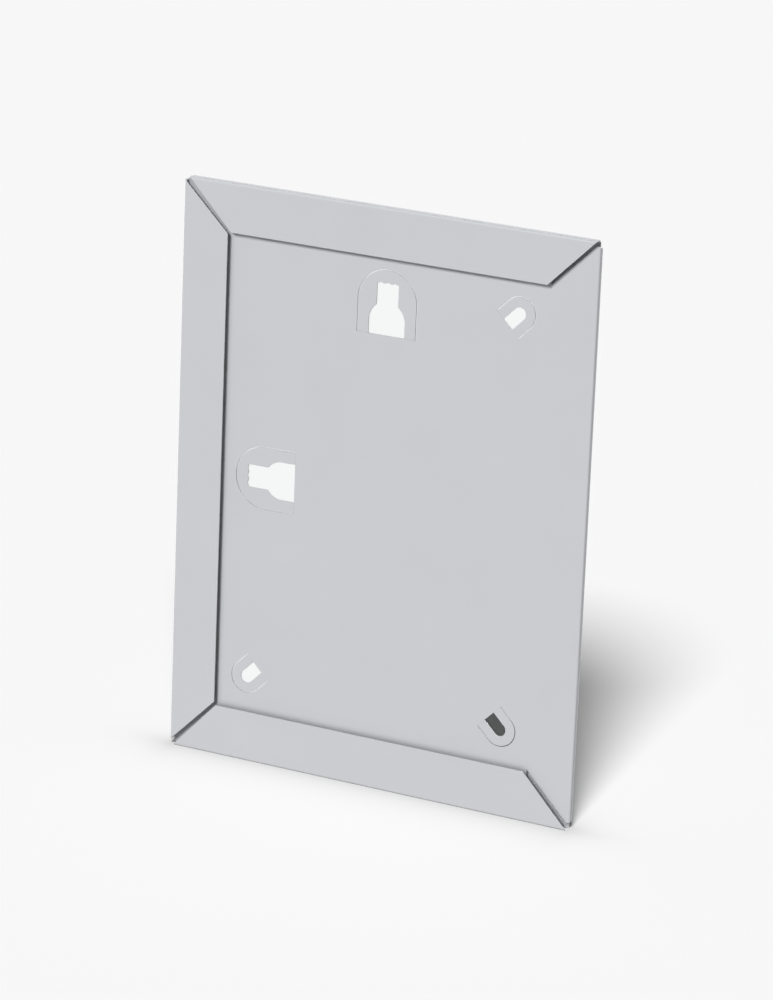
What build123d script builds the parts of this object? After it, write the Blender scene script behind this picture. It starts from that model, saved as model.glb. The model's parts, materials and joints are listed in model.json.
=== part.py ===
from build123d import *
import os
from math import sqrt

# Picture frame folded from thin sheet metal, with a back plate that slides out to one side.
# Millimetres. X runs along the width, +Y points out of the back, +Z up.
# The origin is under the middle of the bottom edge. Left and right are as seen from the back,
# so the right side, where the back plate slides out, is at -X.

# Outside of the frame
frame_width = 153.3
frame_height = 203.6

# Folded sheet
sheet = 0.4
fold_inside_radius = 0.3
flange_width = 17.0
bottom_flange_width = 17.8
border_width = 20.0
plate_corner_radius = 1.0
trim_overshoot = 0.02

# Closed corners: the gap between two flanges, and how far it sits above the diagonal
mitre_gap_inner = 1.3
mitre_gap_outer = 2.1
mitre_lift = 0.35

# Open corners: how far the flanges and the back plate stop from the diagonal
flange_mitre_cut = 0.6
plate_mitre_cut_inner = 0.3
plate_mitre_cut_outer = 0.75

# What lies between the front border and the back flanges
glazing_thickness = 0.5
print_room = 1.5
slide_clearance = 0.1
side_clearance = 0.3
glazing_clearance = 1.0

# Keyholes and the hanger tabs around them
slit = 0.26
keyhole_neck_width = 8.0
keyhole_length = 18.1
keyhole_bulb_width = 13.4
keyhole_bulb_centre = 4.9
nail_notch_pitch = 2.6
nail_notch_radius = 1.0
nail_notch_depth = 0.3
hanger_end_rim = 4.3
hanger_side_rim = 4.1
hanger_top_distance = 4.3
hanger_side_distance = 4.95

# Slots and the spacer tabs around them
spacer_slot_width = 4.6
spacer_slot_length = 8.0
spacer_end_rim = 3.5
spacer_side_rim = 3.4
spacer_side_distance = 11.15
spacer_end_distance = 12.05

# How far the tabs' pattern sits above the middle of the back opening
tab_rise = 0.2

# Depths behind the front face
plate_front = sheet + glazing_thickness + slide_clearance
plate_back = plate_front + sheet
frame_depth = plate_back + print_room + sheet

# Worked out from the sizes above
half_width = frame_width / 2
fold_radius = fold_inside_radius + sheet
wall_offset = sheet + side_clearance
closed_cut_inner = mitre_gap_inner / sqrt(2)
closed_cut_outer = mitre_gap_outer / sqrt(2)
opening_half_width = half_width - flange_width
opening_low = bottom_flange_width
opening_high = frame_height - flange_width
window_width = frame_width - 2 * border_width
window_height = frame_height - 2 * border_width
nail_notch_count = int(keyhole_neck_width / nail_notch_pitch)
hanger_length = keyhole_length + hanger_end_rim
hanger_tab_width = keyhole_bulb_width + 2 * hanger_side_rim
spacer_length = spacer_slot_length + spacer_end_rim
spacer_tab_width = spacer_slot_width + 2 * spacer_side_rim

# Directions in the frame, and how a sketch stands on a tongue's root
BACKWARDS = (0, 1, 0)
FROM_ROOT = (Align.MIN, Align.CENTER)


def at_depth(depth):
    """Y of a plane that lies a depth behind the front face."""
    return depth - frame_depth / 2


def seen_from_back(depth):
    """Sketch plane at a depth, seen from the back: x to the right, y up from the bottom edge."""
    return Plane((0, at_depth(depth), 0), x_dir=(-1, 0, 0), z_dir=BACKWARDS)


def above_mitre(neighbour_flange):
    """Where a side above a closed gap stops: from the corner to its wall and to its flange's tip."""
    return closed_cut_outer + mitre_lift, neighbour_flange + closed_cut_inner + mitre_lift


def below_mitre(neighbour_flange):
    """The same for a side below a closed gap."""
    return closed_cut_outer - mitre_lift, neighbour_flange + closed_cut_inner - mitre_lift


def folded_side(side_plane, length, flange, start, end):
    """One folded side: a front leg, the side wall and the back flange, mitred at both ends.

    side_plane lies on the front face with x along the outer edge and y pointing inwards.
    start and end say where the side stops: from each corner to its wall and to its flange's tip.
    The plan that trims the mitres reaches just past the sheet all round.
    """
    section_plane = Plane(side_plane.origin, x_dir=side_plane.y_dir, z_dir=side_plane.x_dir)
    plan_plane = side_plane.offset(-trim_overshoot)
    start_wall, start_tip = start
    end_wall, end_tip = end
    with BuildPart() as side:
        with BuildSketch(section_plane):
            with BuildLine():
                outside = FilletPolyline(
                    (border_width, 0),
                    (0, 0),
                    (0, frame_depth),
                    (flange, frame_depth),
                    radius=fold_radius,
                )
                inside = FilletPolyline(
                    (border_width, sheet),
                    (sheet, sheet),
                    (sheet, frame_depth - sheet),
                    (flange, frame_depth - sheet),
                    radius=fold_inside_radius,
                )
                Line(outside @ 0, inside @ 0)
                Line(outside @ 1, inside @ 1)
            make_face()
        extrude(amount=length / 2, both=True)
        with BuildSketch(plan_plane):
            with BuildLine():
                Polyline(
                    (-length / 2 + start_wall, -trim_overshoot),
                    (length / 2 - end_wall, -trim_overshoot),
                    (length / 2 - end_tip, flange + trim_overshoot),
                    (-length / 2 + start_tip, flange + trim_overshoot),
                    close=True,
                )
            make_face()
        extrude(amount=frame_depth + 2 * trim_overshoot, mode=Mode.INTERSECT)
    return side.part


def tongue(length, width, mode=Mode.ADD):
    """Sketch of a tongue: straight across its root at x = 0, round at its free end."""
    half = width / 2
    straight = length - half
    with BuildLine() as outline:
        Polyline((straight, half), (0, half), (0, -half), (straight, -half))
        ThreePointArc((straight, -half), (length, 0), (straight, half))
    make_face(outline.edges(), mode=mode)


def keyhole():
    """Sketch of the keyhole: a wide bulb at the root and a neck with notches for the nail."""
    neck_reach = keyhole_length - nail_notch_depth
    Rectangle(keyhole_bulb_centre, keyhole_bulb_width, align=FROM_ROOT, mode=Mode.SUBTRACT)
    with Locations((keyhole_bulb_centre, 0)):
        Circle(keyhole_bulb_width / 2, mode=Mode.SUBTRACT)
    Rectangle(neck_reach, keyhole_neck_width, align=FROM_ROOT, mode=Mode.SUBTRACT)
    with Locations((keyhole_length - nail_notch_radius, 0)):
        with GridLocations(nail_notch_pitch, nail_notch_pitch, 1, nail_notch_count):
            Circle(nail_notch_radius, mode=Mode.SUBTRACT)


# Front border with its window
with BuildPart() as border:
    with BuildSketch(seen_from_back(0)):
        with BuildLine():
            Polyline(
                (-half_width + fold_radius, fold_radius),
                (half_width - wall_offset, fold_radius),
                (half_width - wall_offset, frame_height - fold_radius),
                (-half_width + fold_radius, frame_height - fold_radius),
                close=True,
            )
        make_face()
        with Locations((0, frame_height / 2)):
            Rectangle(window_width, window_height, mode=Mode.SUBTRACT)
    extrude(amount=sheet)

# The three folded sides, each on a plane at the middle of its outer edge
front_y = at_depth(0)
top_plane = Plane((0, front_y, frame_height), x_dir=(1, 0, 0), z_dir=BACKWARDS)
bottom_plane = Plane((0, front_y, 0), x_dir=(-1, 0, 0), z_dir=BACKWARDS)
left_plane = Plane((half_width, front_y, frame_height / 2), x_dir=(0, 0, -1), z_dir=BACKWARDS)
open_end = (flange_mitre_cut, flange_width + flange_mitre_cut)
top_side = folded_side(
    top_plane, frame_width, flange_width, start=open_end, end=above_mitre(flange_width)
)
bottom_side = folded_side(
    bottom_plane, frame_width, bottom_flange_width, start=below_mitre(flange_width), end=open_end
)
left_side = folded_side(
    left_plane,
    frame_height,
    flange_width,
    start=below_mitre(flange_width),
    end=above_mitre(bottom_flange_width),
)

# Front frame: the border and its folded sides, all one sheet
with BuildPart() as front_frame:
    add(border.part)
    add(top_side)
    add(bottom_side)
    add(left_side)

# Clear sheet seated on the border
glazing_inset = sheet + glazing_clearance
with BuildPart() as glazing:
    with BuildSketch(seen_from_back(sheet)):
        with Locations((0, frame_height / 2)):
            Rectangle(frame_width - 2 * glazing_inset, frame_height - 2 * glazing_inset)
    extrude(amount=glazing_thickness)

# Roots of the tongues, on the front of the back plate, each plane with x towards the free end
plate_middle = -wall_offset / 2
portrait_root = opening_high - hanger_top_distance - slit - hanger_length
landscape_root = opening_half_width - hanger_side_distance - slit - hanger_length
landscape_height = (opening_low + opening_high) / 2 + tab_rise
spacer_straight = spacer_length - spacer_tab_width / 2
spacer_root_step = spacer_straight / sqrt(2)
spacer_half_width = opening_half_width - spacer_side_distance - spacer_root_step
spacer_left = plate_middle + spacer_half_width
spacer_right = plate_middle - spacer_half_width
spacer_low = opening_low + spacer_end_distance + spacer_root_step + tab_rise
spacer_high = opening_high - spacer_end_distance - spacer_root_step + tab_rise
tab_y = at_depth(plate_front)
hanger_planes = {
    "portrait_hanger_tab": Plane(
        (plate_middle, tab_y, portrait_root), x_dir=(0, 0, 1), z_dir=BACKWARDS
    ),
    "landscape_hanger_tab": Plane(
        (landscape_root, tab_y, landscape_height), x_dir=(1, 0, 0), z_dir=BACKWARDS
    ),
}
spacer_planes = {
    "spacer_tab_top_right": Plane(
        (spacer_right, tab_y, spacer_high), x_dir=(-1, 0, 1), z_dir=BACKWARDS
    ),
    "spacer_tab_bottom_left": Plane(
        (spacer_left, tab_y, spacer_low), x_dir=(1, 0, -1), z_dir=BACKWARDS
    ),
    "spacer_tab_bottom_right": Plane(
        (spacer_right, tab_y, spacer_low), x_dir=(-1, 0, -1), z_dir=BACKWARDS
    ),
}

# Back plate: flat under the flanges, mitred beside them and folded round to the front on the right
plate_left = -half_width + wall_offset
plate_low = wall_offset
plate_high = frame_height - wall_offset
trim_left = plate_left - trim_overshoot
trim_right = half_width + trim_overshoot
with BuildPart() as back_plate:
    with BuildSketch(Plane.XY):
        with BuildLine():
            outside = FilletPolyline(
                (-plate_left, at_depth(plate_back)),
                (-half_width, at_depth(plate_back)),
                (-half_width, front_y),
                radius=fold_radius,
            )
            inside = FilletPolyline(
                (-plate_left, at_depth(plate_front)),
                (-half_width + sheet, at_depth(plate_front)),
                (-half_width + sheet, front_y),
                radius=fold_inside_radius,
            )
            Line(outside @ 0, inside @ 0)
            Line(outside @ 1, inside @ 1)
        make_face()
    extrude(amount=frame_height)
    with BuildSketch(seen_from_back(-trim_overshoot)) as plate_plan:
        with BuildLine():
            Polyline(
                (trim_left, plate_low),
                (opening_half_width, plate_low),
                (opening_half_width, opening_low + plate_mitre_cut_inner),
                (trim_right, plate_mitre_cut_outer),
                (trim_right, frame_height - plate_mitre_cut_outer),
                (opening_half_width, opening_high - plate_mitre_cut_inner),
                (opening_half_width, plate_high),
                (trim_left, plate_high),
                close=True,
            )
        make_face()
        right_corners = plate_plan.vertices().group_by(Axis.X)[-1]
        fillet(right_corners, radius=plate_corner_radius)
    extrude(amount=frame_depth + 2 * trim_overshoot, mode=Mode.INTERSECT)
    for hanger_plane in hanger_planes.values():
        with BuildSketch(hanger_plane):
            tongue(hanger_length + slit, hanger_tab_width + 2 * slit)
        extrude(amount=sheet, mode=Mode.SUBTRACT)
    for spacer_plane in spacer_planes.values():
        with BuildSketch(spacer_plane):
            tongue(spacer_length + slit, spacer_tab_width + 2 * slit)
        extrude(amount=sheet, mode=Mode.SUBTRACT)

os.makedirs("parts", exist_ok=True)

front_frame.part.label = "front_frame"
export_step(front_frame.part, "parts/front_frame.step")

glazing.part.label = "glazing"
export_step(glazing.part, "parts/glazing.step")

back_plate.part.label = "back_plate"
export_step(back_plate.part, "parts/back_plate.step")

# Hanger tabs: tongues with a keyhole that starts at the root
for name, hanger_plane in hanger_planes.items():
    with BuildPart() as hanger_tab:
        with BuildSketch(hanger_plane):
            tongue(hanger_length, hanger_tab_width)
            keyhole()
        extrude(amount=sheet)
    hanger_tab.part.label = name
    export_step(hanger_tab.part, f"parts/{name}.step")

# Spacer tabs: smaller tongues with a slot that starts at the root
for name, spacer_plane in spacer_planes.items():
    with BuildPart() as spacer_tab:
        with BuildSketch(spacer_plane):
            tongue(spacer_length, spacer_tab_width)
            tongue(spacer_slot_length, spacer_slot_width, mode=Mode.SUBTRACT)
        extrude(amount=sheet)
    spacer_tab.part.label = name
    export_step(spacer_tab.part, f"parts/{name}.step")
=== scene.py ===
"""Finish, light and camera for a slide-back picture frame folded from thin sheet metal.

The file is laid out as an add-on. Each operator dresses one piece, or a group of like pieces, of the
packed model, and one more sets the stage. Metres; +Z up, +Y out of the frame's back.
"""

import json
from math import cos, radians, sin

import bpy
from bpy.props import FloatProperty, FloatVectorProperty, IntProperty, PointerProperty
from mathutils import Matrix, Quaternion, Vector


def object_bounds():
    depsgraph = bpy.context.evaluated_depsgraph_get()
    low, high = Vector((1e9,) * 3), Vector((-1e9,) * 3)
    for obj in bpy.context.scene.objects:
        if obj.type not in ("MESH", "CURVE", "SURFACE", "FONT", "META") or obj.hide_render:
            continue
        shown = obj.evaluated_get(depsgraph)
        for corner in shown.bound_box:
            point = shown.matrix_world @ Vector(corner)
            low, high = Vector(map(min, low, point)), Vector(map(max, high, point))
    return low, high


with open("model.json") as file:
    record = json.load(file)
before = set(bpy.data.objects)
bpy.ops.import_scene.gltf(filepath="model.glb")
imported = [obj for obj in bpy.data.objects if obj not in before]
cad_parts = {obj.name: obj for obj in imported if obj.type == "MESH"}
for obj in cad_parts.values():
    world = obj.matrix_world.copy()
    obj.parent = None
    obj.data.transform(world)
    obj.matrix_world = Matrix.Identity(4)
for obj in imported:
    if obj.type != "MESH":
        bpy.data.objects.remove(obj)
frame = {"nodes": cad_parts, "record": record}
CAD_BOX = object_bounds()

bl_info = {
    "name": "Slide-Back Picture Frame",
    "version": (1, 0, 0),
    "blender": (4, 5, 0),
    "location": "3D View > Sidebar > Picture Frame",
    "description": "Dresses a folded sheet-metal picture frame and sets its stage",
    "category": "Object",
}

COATED_SLOT = "painted_sheet"
FRAME_COAT = "frame_coat"
PLATE_COAT = "plate_coat"
RECORD_COLOURS = {entry["slot"]: entry["base_color"][:3] for entry in frame["record"]["materials"]}
HANGER_TABS = ("portrait_hanger_tab", "landscape_hanger_tab")
SPACER_TABS = ("spacer_tab_top_right", "spacer_tab_bottom_left", "spacer_tab_bottom_right")
FRAME_LOW, FRAME_HIGH = CAD_BOX
FRAME_CENTRE = (FRAME_LOW + FRAME_HIGH) / 2
FRAME_HALF_WIDTH, FRAME_HALF_DEPTH, FRAME_HALF_HEIGHT = (FRAME_HIGH - FRAME_LOW) / 2

WHITE = (1.0, 1.0, 1.0, 1.0)
COAT_SPECULAR = 0.4
ROUGHNESS_SWING = 0.06
EDGE_SAMPLES = 8
CREVICE_SAMPLES = 16
# The painted highlight on an edge reaches this many edge radii into the sheet
EDGE_REACH = 2.0
# Least share of +Y in the normal of a face that looks to the back, and of -Y in one that looks ahead
LOOKING = 0.5
# Seams closer than this share of the edge radius are joined before the edges are rounded
SEAM_SHARE = 1 / 40
SHARP_ANGLE = radians(40.0)
# Large faces decide the normals beside a rounded edge
LARGE_FACE_WEIGHT = 100


class CoatedSheetSettings(bpy.types.PropertyGroup):
    """Satin coat on the folded sheet."""

    colour: FloatVectorProperty(
        name="Coat Colour",
        description="Colour of the coat where it is even",
        subtype="COLOR",
        default=RECORD_COLOURS[COATED_SLOT],
        min=0.0,
        max=1.0,
    )
    mottle: FloatProperty(
        name="Mottle",
        description="How far the coat's brightness drifts over a few centimetres",
        subtype="FACTOR",
        default=0.03,
        min=0.0,
        max=0.2,
    )
    mottle_size: FloatProperty(
        name="Mottle Size",
        description="Width of one cloud of lighter or darker coat",
        unit="LENGTH",
        default=0.03,
        min=0.001,
    )
    roughness: FloatProperty(
        name="Roughness",
        description="Roughness of the coat where it is even",
        subtype="FACTOR",
        default=0.5,
        min=0.0,
        max=1.0,
    )
    grain_size: FloatProperty(
        name="Grain Size",
        description="Width of one bump of the coat",
        unit="LENGTH",
        default=0.0004,
        min=0.00005,
        precision=5,
    )
    grain_height: FloatProperty(
        name="Grain Height",
        description="Height of the coat's bumps",
        unit="LENGTH",
        default=0.000008,
        min=0.0,
        precision=6,
    )
    edge_radius: FloatProperty(
        name="Edge Radius",
        description="Rounding of the sheet's cut edges under the coat",
        unit="LENGTH",
        default=0.00008,
        min=0.00001,
        max=0.00018,
        precision=6,
    )
    edge_segments: IntProperty(
        name="Edge Segments",
        description="Facets across one rounded edge",
        default=2,
        min=1,
        max=6,
    )
    flange_width: FloatProperty(
        name="Flange Width",
        description="Width of the flanges that cover the border of the back plate",
        unit="LENGTH",
        default=0.017,
        min=0.001,
    )
    # Painted shade: darkens the back plate's coat in the crevices beside the flanges, where shade falls
    painted_crevice_shade: FloatProperty(
        name="Crevice Shade",
        description="How much darker the back plate's coat is in the crevices beside the flanges",
        subtype="FACTOR",
        default=0.86,
        min=0.0,
        max=1.0,
    )
    crevice_reach: FloatProperty(
        name="Crevice Reach",
        description="How far a crevice shades the coat beside it",
        unit="LENGTH",
        default=0.0026,
        min=0.0001,
    )
    # Painted shade: darkens the inside of the front border, which lies in shade in the gaps at the mitres
    painted_inside_shade: FloatProperty(
        name="Inside Shade",
        description="How much darker the inside of the front border is than its outside",
        subtype="FACTOR",
        default=0.28,
        min=0.0,
        max=1.0,
    )
    # Painted highlight: lightens the coat over cut edges and tight folds, where light catches them
    painted_edge_highlight: FloatProperty(
        name="Edge Lift",
        description="How much lighter the coat is over a cut edge or a tight fold",
        subtype="FACTOR",
        default=0.12,
        min=0.0,
        max=1.0,
    )


class ClearSheetSettings(bpy.types.PropertyGroup):
    """Clear sheet behind the front border."""

    tint: FloatVectorProperty(
        name="Tint",
        description="Colour of light that has passed the sheet",
        subtype="COLOR",
        default=(0.985, 0.992, 0.99),
        min=0.0,
        max=1.0,
    )
    refraction: FloatProperty(
        name="Refraction",
        description="Index of refraction of the clear plastic",
        default=1.49,
        min=1.0,
        max=2.0,
    )
    haze: FloatProperty(
        name="Haze",
        description="Greatest roughness of the sheet's faintly rubbed patches",
        subtype="FACTOR",
        default=0.03,
        min=0.0,
        max=1.0,
    )
    haze_size: FloatProperty(
        name="Haze Size",
        description="Width of one rubbed patch",
        unit="LENGTH",
        default=0.04,
        min=0.001,
    )


class StageSettings(bpy.types.PropertyGroup):
    """Floor, light and camera."""

    floor_size: FloatProperty(
        name="Floor Size",
        description="Side of the square floor",
        unit="LENGTH",
        default=14.0,
        min=1.0,
    )
    floor_colour: FloatVectorProperty(
        name="Floor Colour",
        description="Colour of the matt floor",
        subtype="COLOR",
        default=(0.16, 0.16, 0.16),
        min=0.0,
        max=1.0,
    )
    floor_bounce: FloatProperty(
        name="Floor Bounce",
        description="Share of the floor's own light that it throws back at the frame",
        subtype="FACTOR",
        default=0.55,
        min=0.0,
        max=1.0,
    )
    floor_glow: FloatProperty(
        name="Floor Glow",
        description="Brightness that the floor keeps in the deepest shadow, where 1 is white",
        subtype="FACTOR",
        default=0.055,
        min=0.0,
        max=1.0,
    )
    # Painted shadow: darkens the floor's colour where the bottom edge meets it
    painted_contact_shadow: FloatProperty(
        name="Contact Shade",
        description="How much darker the floor is where the bottom edge meets it",
        subtype="FACTOR",
        default=0.25,
        min=0.0,
        max=1.0,
    )
    # Reach of that painted contact shadow
    contact_reach: FloatProperty(
        name="Contact Reach",
        description="How far from the bottom edge the floor's contact shade fades to a third",
        unit="LENGTH",
        default=0.008,
        min=0.0005,
    )
    backdrop_white: FloatProperty(
        name="Backdrop White",
        description="Brightness of the backdrop as the camera sees it, where 1 is white",
        subtype="FACTOR",
        default=0.93,
        min=0.0,
        max=1.0,
    )
    sky_strength: FloatProperty(
        name="Sky Strength",
        description="Even light from all round",
        default=0.1,
        min=0.0,
    )
    frame_lamp_azimuth: FloatProperty(
        name="Frame Lamp Azimuth",
        description="Where the frame's lamp stands round the frame, 180 degrees being behind it",
        subtype="ANGLE",
        default=radians(167.5),
    )
    frame_lamp_elevation: FloatProperty(
        name="Frame Lamp Elevation",
        description="Height of the frame's lamp above the floor",
        subtype="ANGLE",
        default=radians(36.0),
    )
    frame_lamp_spread: FloatProperty(
        name="Frame Lamp Spread",
        description="Angle that the frame's lamp fills",
        subtype="ANGLE",
        default=radians(20.0),
    )
    frame_lamp_strength: FloatProperty(
        name="Frame Lamp Strength",
        description="Irradiance of the frame's lamp in watts per square metre",
        default=2.71,
        min=0.0,
    )
    floor_lamp_azimuth: FloatProperty(
        name="Floor Lamp Azimuth",
        description="Where the floor's lamp stands round the frame, 180 degrees being behind it",
        subtype="ANGLE",
        default=radians(198.4),
    )
    floor_lamp_elevation: FloatProperty(
        name="Floor Lamp Elevation",
        description="Height of the floor's lamp above the floor",
        subtype="ANGLE",
        default=radians(47.0),
    )
    floor_lamp_spread: FloatProperty(
        name="Floor Lamp Spread",
        description="Angle that the floor's lamp fills",
        subtype="ANGLE",
        default=radians(17.8),
    )
    floor_lamp_strength: FloatProperty(
        name="Floor Lamp Strength",
        description="Irradiance of the floor's lamp in watts per square metre",
        default=23.1,
        min=0.0,
    )
    front_lamp_azimuth: FloatProperty(
        name="Front Lamp Azimuth",
        description="Where the lamp in front stands round the frame, 0 degrees being straight ahead",
        subtype="ANGLE",
        default=radians(-25.0),
    )
    front_lamp_elevation: FloatProperty(
        name="Front Lamp Elevation",
        description="Height of the lamp in front of the frame above the floor",
        subtype="ANGLE",
        default=radians(27.0),
    )
    front_lamp_spread: FloatProperty(
        name="Front Lamp Spread",
        description="Angle that the lamp in front of the frame fills",
        subtype="ANGLE",
        default=radians(30.0),
    )
    front_lamp_strength: FloatProperty(
        name="Front Lamp Strength",
        description="Irradiance of the lamp in front of the frame in watts per square metre",
        default=2.55,
        min=0.0,
    )
    camera_azimuth: FloatProperty(
        name="Camera Azimuth",
        description="Where the camera stands round the frame, 180 degrees being behind it",
        subtype="ANGLE",
        default=radians(206.51),
    )
    camera_elevation: FloatProperty(
        name="Camera Elevation",
        description="Height of the camera above the horizon",
        subtype="ANGLE",
        default=radians(17.36),
    )
    camera_roll: FloatProperty(
        name="Camera Roll",
        description="Turn of the camera about its own axis",
        subtype="ANGLE",
        default=radians(2.33),
    )
    camera_distance: FloatProperty(
        name="Camera Distance",
        description="From the camera to the point it is aimed at",
        unit="LENGTH",
        default=1.5436,
        min=0.1,
    )
    camera_aim: FloatVectorProperty(
        name="Camera Aim",
        description="Aim point, from the middle of the frame",
        subtype="TRANSLATION",
        unit="LENGTH",
        default=(-0.00314, 0.0, 0.00123),
    )
    camera_lens: FloatProperty(
        name="Camera Lens",
        description="Focal length on a 36 mm sensor, in millimetres",
        default=165.62,
        min=10.0,
    )


def direction_towards(azimuth, elevation):
    """Unit vector from the frame towards a lamp or camera; azimuth 0 stands in front, at -Y."""
    return Vector(
        (
            sin(azimuth) * cos(elevation),
            -cos(azimuth) * cos(elevation),
            sin(elevation),
        )
    )


def new_material(name):
    """Empty node material and its output node."""
    material = bpy.data.materials.new(name)
    material.use_nodes = True
    material.node_tree.nodes.clear()
    output = material.node_tree.nodes.new("ShaderNodeOutputMaterial")
    return material, output


def add_node(tree, kind, **values):
    """New node with some of its input sockets set by name."""
    node = tree.nodes.new(kind)
    for socket, value in values.items():
        node.inputs[socket.replace("_", " ")].default_value = value
    return node


def add_math(tree, operation, *values):
    """Math node on one or two values, each a socket or a number."""
    node = tree.nodes.new("ShaderNodeMath")
    node.operation = operation
    for value, socket in zip(values, node.inputs):
        if isinstance(value, (int, float)):
            socket.default_value = value
        else:
            tree.links.new(value, socket)
    return node.outputs["Value"]


def add_noise(tree, feature_size, detail, roughness):
    """Noise over the object's own coordinates, with features of a given width."""
    coordinates = tree.nodes.new("ShaderNodeTexCoord")
    scale = 1.0 / feature_size
    noise = add_node(tree, "ShaderNodeTexNoise", Scale=scale, Detail=detail, Roughness=roughness)
    tree.links.new(coordinates.outputs["Object"], noise.inputs["Vector"])
    return noise.outputs["Fac"]


def map_range(tree, value, low, high):
    """Spreads a value from 0 to 1 between two ends."""
    node = add_node(tree, "ShaderNodeMapRange", To_Min=low, To_Max=high)
    tree.links.new(value, node.inputs["Value"])
    return node.outputs["Result"]


def scaled_colour(tree, colour, scale):
    """A colour made lighter or darker by a socket."""
    node = tree.nodes.new("ShaderNodeVectorMath")
    node.operation = "SCALE"
    node.inputs[0].default_value = colour
    tree.links.new(scale, node.inputs["Scale"])
    return node.outputs["Vector"]


def edge_mask(tree, radius):
    """0 on flat sheet, rising to 1 on a cut edge or a tight fold, where the coat gets its painted
    highlight.
    """
    rounded = add_node(tree, "ShaderNodeBevel", Radius=radius)
    rounded.samples = EDGE_SAMPLES
    geometry = tree.nodes.new("ShaderNodeNewGeometry")
    facing = tree.nodes.new("ShaderNodeVectorMath")
    facing.operation = "DOT_PRODUCT"
    tree.links.new(rounded.outputs["Normal"], facing.inputs[0])
    tree.links.new(geometry.outputs["Normal"], facing.inputs[1])
    return add_math(tree, "SUBTRACT", 1.0, facing.outputs["Value"])


def outside_of(tree, value, middle, half):
    """How far a coordinate lies outside a span."""
    distance = add_math(tree, "ABSOLUTE", add_math(tree, "SUBTRACT", value, middle))
    return add_math(tree, "MAXIMUM", add_math(tree, "SUBTRACT", distance, half), 0.0)


def split_axes(tree, source):
    """One socket for each axis of a Texture Coordinate output, such as Object or Normal."""
    coordinates = tree.nodes.new("ShaderNodeTexCoord")
    axes = tree.nodes.new("ShaderNodeSeparateXYZ")
    tree.links.new(coordinates.outputs[source], axes.inputs["Vector"])
    return axes.outputs


def painted_shade_in_crevices(tree, settings):
    """Mask of the painted shade: 0 on open sheet, rising in the crevices beside and between the flanges.

    It is 0 again well under the flanges, away from their mitres, and on the face towards the clear sheet.
    """
    occlusion = add_node(tree, "ShaderNodeAmbientOcclusion", Distance=settings.crevice_reach)
    occlusion.samples = CREVICE_SAMPLES
    closed_in = add_math(tree, "SUBTRACT", 1.0, occlusion.outputs["AO"])
    axes = split_axes(tree, "Object")
    across = outside_of(tree, axes["X"], FRAME_CENTRE.x, FRAME_HALF_WIDTH - settings.flange_width)
    up = outside_of(tree, axes["Z"], FRAME_CENTRE.z, FRAME_HALF_HEIGHT - settings.flange_width)
    from_mitre = add_math(tree, "ABSOLUTE", add_math(tree, "SUBTRACT", across, up))
    under = add_math(tree, "MINIMUM", add_math(tree, "DIVIDE", from_mitre, settings.crevice_reach), 1.0)
    not_in_front = add_math(tree, "GREATER_THAN", split_axes(tree, "Normal")["Y"], -LOOKING)
    showing = add_math(tree, "MULTIPLY", not_in_front, add_math(tree, "SUBTRACT", 1.0, under))
    return add_math(tree, "MULTIPLY", showing, closed_in)


def painted_shade_inside_border(tree, settings):
    """Mask of the painted shade: 1 on the inside of the front border, which looks out of the back, and 0
    elsewhere.
    """
    deep = add_math(tree, "LESS_THAN", split_axes(tree, "Object")["Y"], FRAME_CENTRE.y)
    looks_back = add_math(tree, "GREATER_THAN", split_axes(tree, "Normal")["Y"], LOOKING)
    return add_math(tree, "MULTIPLY", deep, looks_back)


def coated_sheet_material(name, settings, shaded_places, darkest):
    """Satin light grey coat with fine bumps, faint clouds, a painted highlight on its edges and painted
    shade in some places.
    """
    material, output = new_material(name)
    tree = material.node_tree
    coat = add_node(tree, "ShaderNodeBsdfPrincipled", Metallic=0.0)
    coat.inputs["Specular IOR Level"].default_value = COAT_SPECULAR

    clouds = add_noise(tree, settings.mottle_size, detail=3.0, roughness=0.55)
    brightness = map_range(tree, clouds, 1.0 - settings.mottle, 1.0 + settings.mottle)
    edges = edge_mask(tree, EDGE_REACH * settings.edge_radius)
    # Painted highlight: the coat is lighter over edges and tight folds
    highlight = add_math(tree, "MULTIPLY", edges, settings.painted_edge_highlight)
    brightness = add_math(tree, "ADD", brightness, highlight)
    # Painted shade: the coat is darker in the places that the mask picks
    shade = map_range(tree, shaded_places(tree, settings), 1.0, 1.0 - darkest)
    brightness = add_math(tree, "MULTIPLY", brightness, shade)
    tree.links.new(scaled_colour(tree, settings.colour, brightness), coat.inputs["Base Color"])

    grain = add_noise(tree, settings.grain_size, detail=2.0, roughness=0.5)
    smoothest, roughest = settings.roughness - ROUGHNESS_SWING, settings.roughness + ROUGHNESS_SWING
    rough = map_range(tree, grain, smoothest, roughest)
    tree.links.new(rough, coat.inputs["Roughness"])
    bump = add_node(tree, "ShaderNodeBump", Strength=1.0, Distance=settings.grain_height)
    tree.links.new(grain, bump.inputs["Height"])
    tree.links.new(bump.outputs["Normal"], coat.inputs["Normal"])
    tree.links.new(coat.outputs["BSDF"], output.inputs["Surface"])
    return material


def mix_shaders(tree, factor, first, second):
    """Blend of two shader sockets, all second where the factor is 1."""
    mix = tree.nodes.new("ShaderNodeMixShader")
    for source, socket in zip((factor, first, second), mix.inputs):
        tree.links.new(source, socket)
    return mix.outputs["Shader"]


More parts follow.
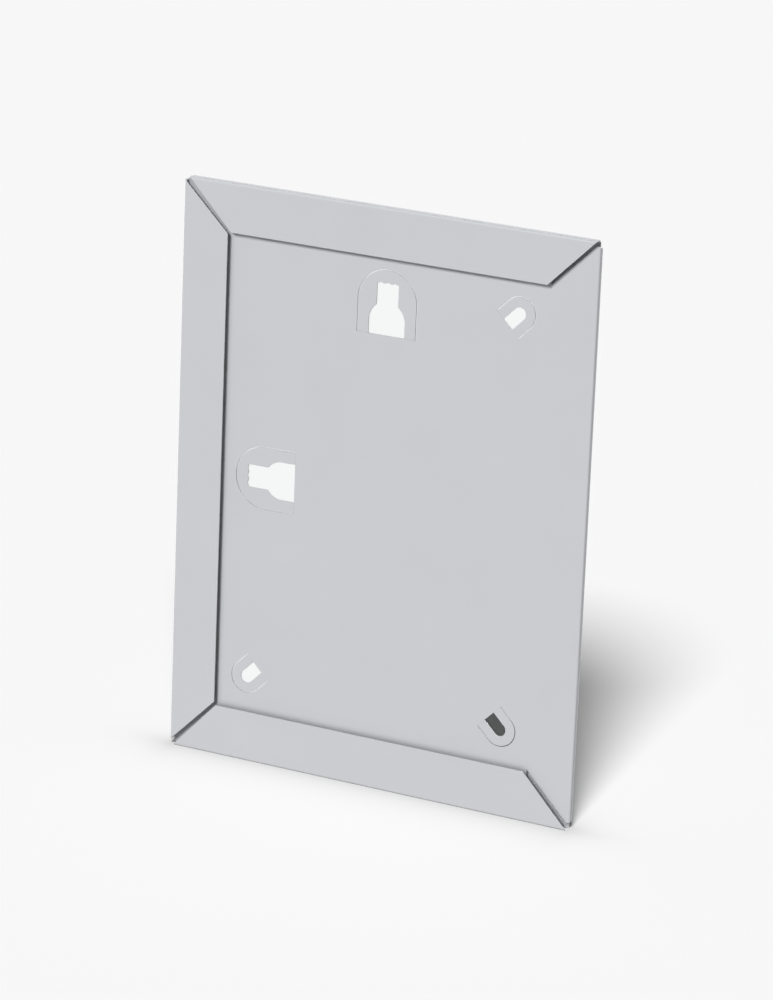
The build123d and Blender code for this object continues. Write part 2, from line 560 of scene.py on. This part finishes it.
def clear_sheet_material(settings):
    """Clear polished plastic with faintly rubbed patches, which lets the lamps' light through."""
    material, output = new_material("clear_plastic")
    tree = material.node_tree
    plastic = add_node(tree, "ShaderNodeBsdfPrincipled", Metallic=0.0, IOR=settings.refraction)
    plastic.inputs["Base Color"].default_value = (*settings.tint, 1.0)
    plastic.inputs["Transmission Weight"].default_value = 1.0
    patches = add_noise(tree, settings.haze_size, detail=4.0, roughness=0.6)
    tree.links.new(map_range(tree, patches, 0.0, settings.haze), plastic.inputs["Roughness"])
    passing = add_node(tree, "ShaderNodeBsdfTransparent", Color=(*settings.tint, 1.0))
    path = tree.nodes.new("ShaderNodeLightPath")
    light_ray = add_math(tree, "MAXIMUM", path.outputs["Is Shadow Ray"], path.outputs["Is Diffuse Ray"])
    sheet = mix_shaders(tree, light_ray, plastic.outputs["BSDF"], passing.outputs["BSDF"])
    tree.links.new(sheet, output.inputs["Surface"])
    return material


def seen_ray(tree):
    """1 for rays from the camera, from gloss or through glass, 0 for rays that only carry light."""
    path = tree.nodes.new("ShaderNodeLightPath")
    seen = add_math(tree, "MAXIMUM", path.outputs["Is Camera Ray"], path.outputs["Is Glossy Ray"])
    return add_math(tree, "MAXIMUM", seen, path.outputs["Is Transmission Ray"])


def painted_light_beside_frame(tree):
    """For rays through the clear sheet, rises on the floor from the frame's middle to 1 at its +X side.

    There painted light makes the floor look as white as the backdrop when it is seen through the
    keyholes, and hides the frame's shadow there.
    """
    path = tree.nodes.new("ShaderNodeLightPath")
    rise = add_node(tree, "ShaderNodeMapRange", From_Min=FRAME_CENTRE.x, From_Max=FRAME_HIGH.x)
    rise.interpolation_type = "SMOOTHSTEP"
    tree.links.new(split_axes(tree, "Object")["X"], rise.inputs["Value"])
    return add_math(tree, "MULTIPLY", rise.outputs["Result"], path.outputs["Is Transmission Ray"])


def painted_contact_shadow(tree, settings):
    """Painted contact shadow: 1 on open floor, lower where the bottom edge meets it."""
    axes = split_axes(tree, "Object")
    across = outside_of(tree, axes["X"], FRAME_CENTRE.x, FRAME_HALF_WIDTH)
    along = outside_of(tree, axes["Y"], FRAME_CENTRE.y, FRAME_HALF_DEPTH)
    distance = add_math(tree, "ADD", across, along)
    fade = add_math(tree, "EXPONENT", add_math(tree, "DIVIDE", distance, -settings.contact_reach))
    return add_math(tree, "SUBTRACT", 1.0, add_math(tree, "MULTIPLY", fade, settings.painted_contact_shadow))


def floor_material(settings):
    """Pale floor that keeps the frame's shadow, with a painted contact shadow along the bottom edge and
    painted light beside the frame where it is seen through the clear sheet.
    """
    material, output = new_material("pale_floor")
    tree = material.node_tree
    path = tree.nodes.new("ShaderNodeLightPath")
    matt = add_node(tree, "ShaderNodeBsdfDiffuse")
    # Painted contact shadow: the floor's colour is darker near the bottom edge
    shaded = scaled_colour(tree, settings.floor_colour, painted_contact_shadow(tree, settings))
    tree.links.new(shaded, matt.inputs["Color"])
    dim_colour = [settings.floor_bounce * share for share in settings.floor_colour]
    dim = add_node(tree, "ShaderNodeBsdfDiffuse", Color=(*dim_colour, 1.0))
    white = add_node(tree, "ShaderNodeEmission", Color=WHITE, Strength=settings.backdrop_white)
    glow = add_node(tree, "ShaderNodeEmission", Color=WHITE, Strength=settings.floor_glow)
    pale = tree.nodes.new("ShaderNodeAddShader")
    tree.links.new(matt.outputs["BSDF"], pale.inputs[0])
    tree.links.new(glow.outputs["Emission"], pale.inputs[1])
    lit = mix_shaders(tree, path.outputs["Is Diffuse Ray"], matt.outputs["BSDF"], dim.outputs["BSDF"])
    seen = mix_shaders(tree, path.outputs["Is Camera Ray"], lit, pale.outputs["Shader"])
    # Painted light: seen through the clear sheet, the floor beside the frame shows white instead of its
    # shadow
    blend = mix_shaders(tree, painted_light_beside_frame(tree), seen, white.outputs["Emission"])
    tree.links.new(blend, output.inputs["Surface"])
    return material


def soften_edges(node, settings):
    """Rounds the cut edges of a sheet piece without touching its mesh."""
    weld = node.modifiers.new("Join Seams", "WELD")
    weld.merge_threshold = SEAM_SHARE * settings.edge_radius
    bevel = node.modifiers.new("Soft Edges", "BEVEL")
    bevel.width = settings.edge_radius
    bevel.segments = settings.edge_segments
    bevel.limit_method = "ANGLE"
    bevel.angle_limit = SHARP_ANGLE
    normals = node.modifiers.new("Even Faces", "WEIGHTED_NORMAL")
    normals.weight = LARGE_FACE_WEIGHT


def assign_material(node, material):
    """Gives a piece one material over its whole surface."""
    node.data.materials.clear()
    node.data.materials.append(material)


def coat_nodes(names, settings, material):
    """Rounds the edges of sheet pieces and gives them a coat."""
    for name in names:
        node = frame["nodes"][name]
        soften_edges(node, settings)
        assign_material(node, material)


def coat_plate_nodes(context, names):
    """Coats pieces of the back plate, with one material for all of them that is made on its first use."""
    settings = context.scene.coated_sheet
    material = bpy.data.materials.get(PLATE_COAT)
    if material is None:
        # Painted shade in the crevices beside the flanges
        material = coated_sheet_material(PLATE_COAT, settings, painted_shade_in_crevices, settings.painted_crevice_shade)
    coat_nodes(names, settings, material)


class PICTUREFRAME_OT_front_frame(bpy.types.Operator):
    """Coat the folded front frame"""

    bl_idname = "picture_frame.front_frame"
    bl_label = "Front Frame"

    def execute(self, context):
        settings = context.scene.coated_sheet
        # Painted shade on the inside of the front border
        material = coated_sheet_material(FRAME_COAT, settings, painted_shade_inside_border, settings.painted_inside_shade)
        coat_nodes(["front_frame"], settings, material)
        return {"FINISHED"}


class PICTUREFRAME_OT_glazing(bpy.types.Operator):
    """Make the sheet behind the border clear"""

    bl_idname = "picture_frame.glazing"
    bl_label = "Clear Sheet"

    def execute(self, context):
        node = frame["nodes"]["glazing"]
        assign_material(node, clear_sheet_material(context.scene.clear_sheet))
        return {"FINISHED"}


class PICTUREFRAME_OT_back_plate(bpy.types.Operator):
    """Coat the back plate"""

    bl_idname = "picture_frame.back_plate"
    bl_label = "Back Plate"

    def execute(self, context):
        coat_plate_nodes(context, ["back_plate"])
        return {"FINISHED"}


class PICTUREFRAME_OT_hanger_tabs(bpy.types.Operator):
    """Coat the two hanger tabs"""

    bl_idname = "picture_frame.hanger_tabs"
    bl_label = "Hanger Tabs"

    def execute(self, context):
        coat_plate_nodes(context, HANGER_TABS)
        return {"FINISHED"}


class PICTUREFRAME_OT_spacer_tabs(bpy.types.Operator):
    """Coat the three spacer tabs"""

    bl_idname = "picture_frame.spacer_tabs"
    bl_label = "Spacer Tabs"

    def execute(self, context):
        coat_plate_nodes(context, SPACER_TABS)
        return {"FINISHED"}


def make_floor(settings):
    """Square floor under the bottom edge."""
    half = settings.floor_size / 2
    corners = [(-half, -half), (half, -half), (half, half), (-half, half)]
    mesh = bpy.data.meshes.new("floor")
    mesh.from_pydata([(x, y, FRAME_LOW.z) for x, y in corners], [], [(0, 1, 2, 3)])
    floor = bpy.data.objects.new("floor", mesh)
    bpy.context.scene.collection.objects.link(floor)
    assign_material(floor, floor_material(settings))
    return floor


def light_world(settings):
    """Even sky that looks white to the camera and lights the frame gently."""
    world = bpy.data.worlds.new("even_sky")
    world.use_nodes = True
    tree = world.node_tree
    tree.nodes.clear()
    sky = add_node(tree, "ShaderNodeBackground", Color=WHITE, Strength=settings.sky_strength)
    white = add_node(tree, "ShaderNodeBackground", Color=WHITE, Strength=settings.backdrop_white)
    output = tree.nodes.new("ShaderNodeOutputWorld")
    blend = mix_shaders(tree, seen_ray(tree), sky.outputs["Background"], white.outputs["Background"])
    tree.links.new(blend, output.inputs["Surface"])
    bpy.context.scene.world = world


def add_lamp(settings, name, receivers):
    """Soft lamp, far away, that lights only the given objects; its settings start with its name."""
    lamp = bpy.data.lights.new(name, "SUN")
    lamp.energy = getattr(settings, name + "_strength")
    lamp.angle = getattr(settings, name + "_spread")
    stand = bpy.data.objects.new(name, lamp)
    azimuth = getattr(settings, name + "_azimuth")
    elevation = getattr(settings, name + "_elevation")
    towards = direction_towards(azimuth, elevation)
    stand.location = FRAME_CENTRE + towards
    stand.rotation_mode = "QUATERNION"
    stand.rotation_quaternion = (-towards).to_track_quat("-Z", "Y")
    bpy.context.scene.collection.objects.link(stand)
    stand.light_linking.receiver_collection = bpy.data.collections.new(name + "_receivers")
    for receiver in receivers:
        stand.light_linking.receiver_collection.objects.link(receiver)


def add_camera(settings):
    """Camera behind the frame, at the height and turn of the picture."""
    lens = bpy.data.cameras.new("camera")
    lens.lens = settings.camera_lens
    camera = bpy.data.objects.new("camera", lens)
    towards = direction_towards(settings.camera_azimuth, settings.camera_elevation)
    aim = FRAME_CENTRE + Vector(settings.camera_aim)
    camera.location = aim + settings.camera_distance * towards
    camera.rotation_mode = "QUATERNION"
    level = (-towards).to_track_quat("-Z", "Y")
    camera.rotation_quaternion = level @ Quaternion((0.0, 0.0, 1.0), settings.camera_roll)
    bpy.context.scene.collection.objects.link(camera)
    bpy.context.scene.camera = camera


class PICTUREFRAME_OT_stage(bpy.types.Operator):
    """Set the floor, the light and the camera"""

    bl_idname = "picture_frame.stage"
    bl_label = "Stage"

    def execute(self, context):
        settings = context.scene.frame_stage
        floor = make_floor(settings)
        light_world(settings)
        pieces = frame["nodes"].values()
        add_lamp(settings, "frame_lamp", pieces)
        add_lamp(settings, "floor_lamp", [floor])
        add_lamp(settings, "front_lamp", pieces)
        add_camera(settings)
        context.scene.view_settings.view_transform = "Standard"
        return {"FINISHED"}


class PICTUREFRAME_PT_sidebar(bpy.types.Panel):
    """Lists the frame's pieces and its stage"""

    bl_label = "Picture Frame"
    bl_idname = "PICTUREFRAME_PT_sidebar"
    bl_space_type = "VIEW_3D"
    bl_region_type = "UI"
    bl_category = "Picture Frame"

    def draw(self, context):
        for operator in OPERATORS:
            self.layout.operator(operator.bl_idname)
        for group, scene_property in GROUPS.items():
            box = self.layout.box()
            box.label(text=group.__doc__)
            settings = getattr(context.scene, scene_property)
            for name in group.__annotations__:
                box.prop(settings, name)


GROUPS = {
    CoatedSheetSettings: "coated_sheet",
    ClearSheetSettings: "clear_sheet",
    StageSettings: "frame_stage",
}
OPERATORS = (
    PICTUREFRAME_OT_front_frame,
    PICTUREFRAME_OT_glazing,
    PICTUREFRAME_OT_back_plate,
    PICTUREFRAME_OT_hanger_tabs,
    PICTUREFRAME_OT_spacer_tabs,
    PICTUREFRAME_OT_stage,
)
CLASSES = (*GROUPS, *OPERATORS, PICTUREFRAME_PT_sidebar)


def register():
    for cls in CLASSES:
        bpy.utils.register_class(cls)
    for group, name in GROUPS.items():
        setattr(bpy.types.Scene, name, PointerProperty(type=group))


def unregister():
    for name in GROUPS.values():
        delattr(bpy.types.Scene, name)
    for cls in reversed(CLASSES):
        bpy.utils.unregister_class(cls)


def main():
    register()
    bpy.ops.picture_frame.front_frame()
    bpy.ops.picture_frame.glazing()
    bpy.ops.picture_frame.back_plate()
    bpy.ops.picture_frame.hanger_tabs()
    bpy.ops.picture_frame.spacer_tabs()
    bpy.ops.picture_frame.stage()


if __name__ == "__main__":
    main()
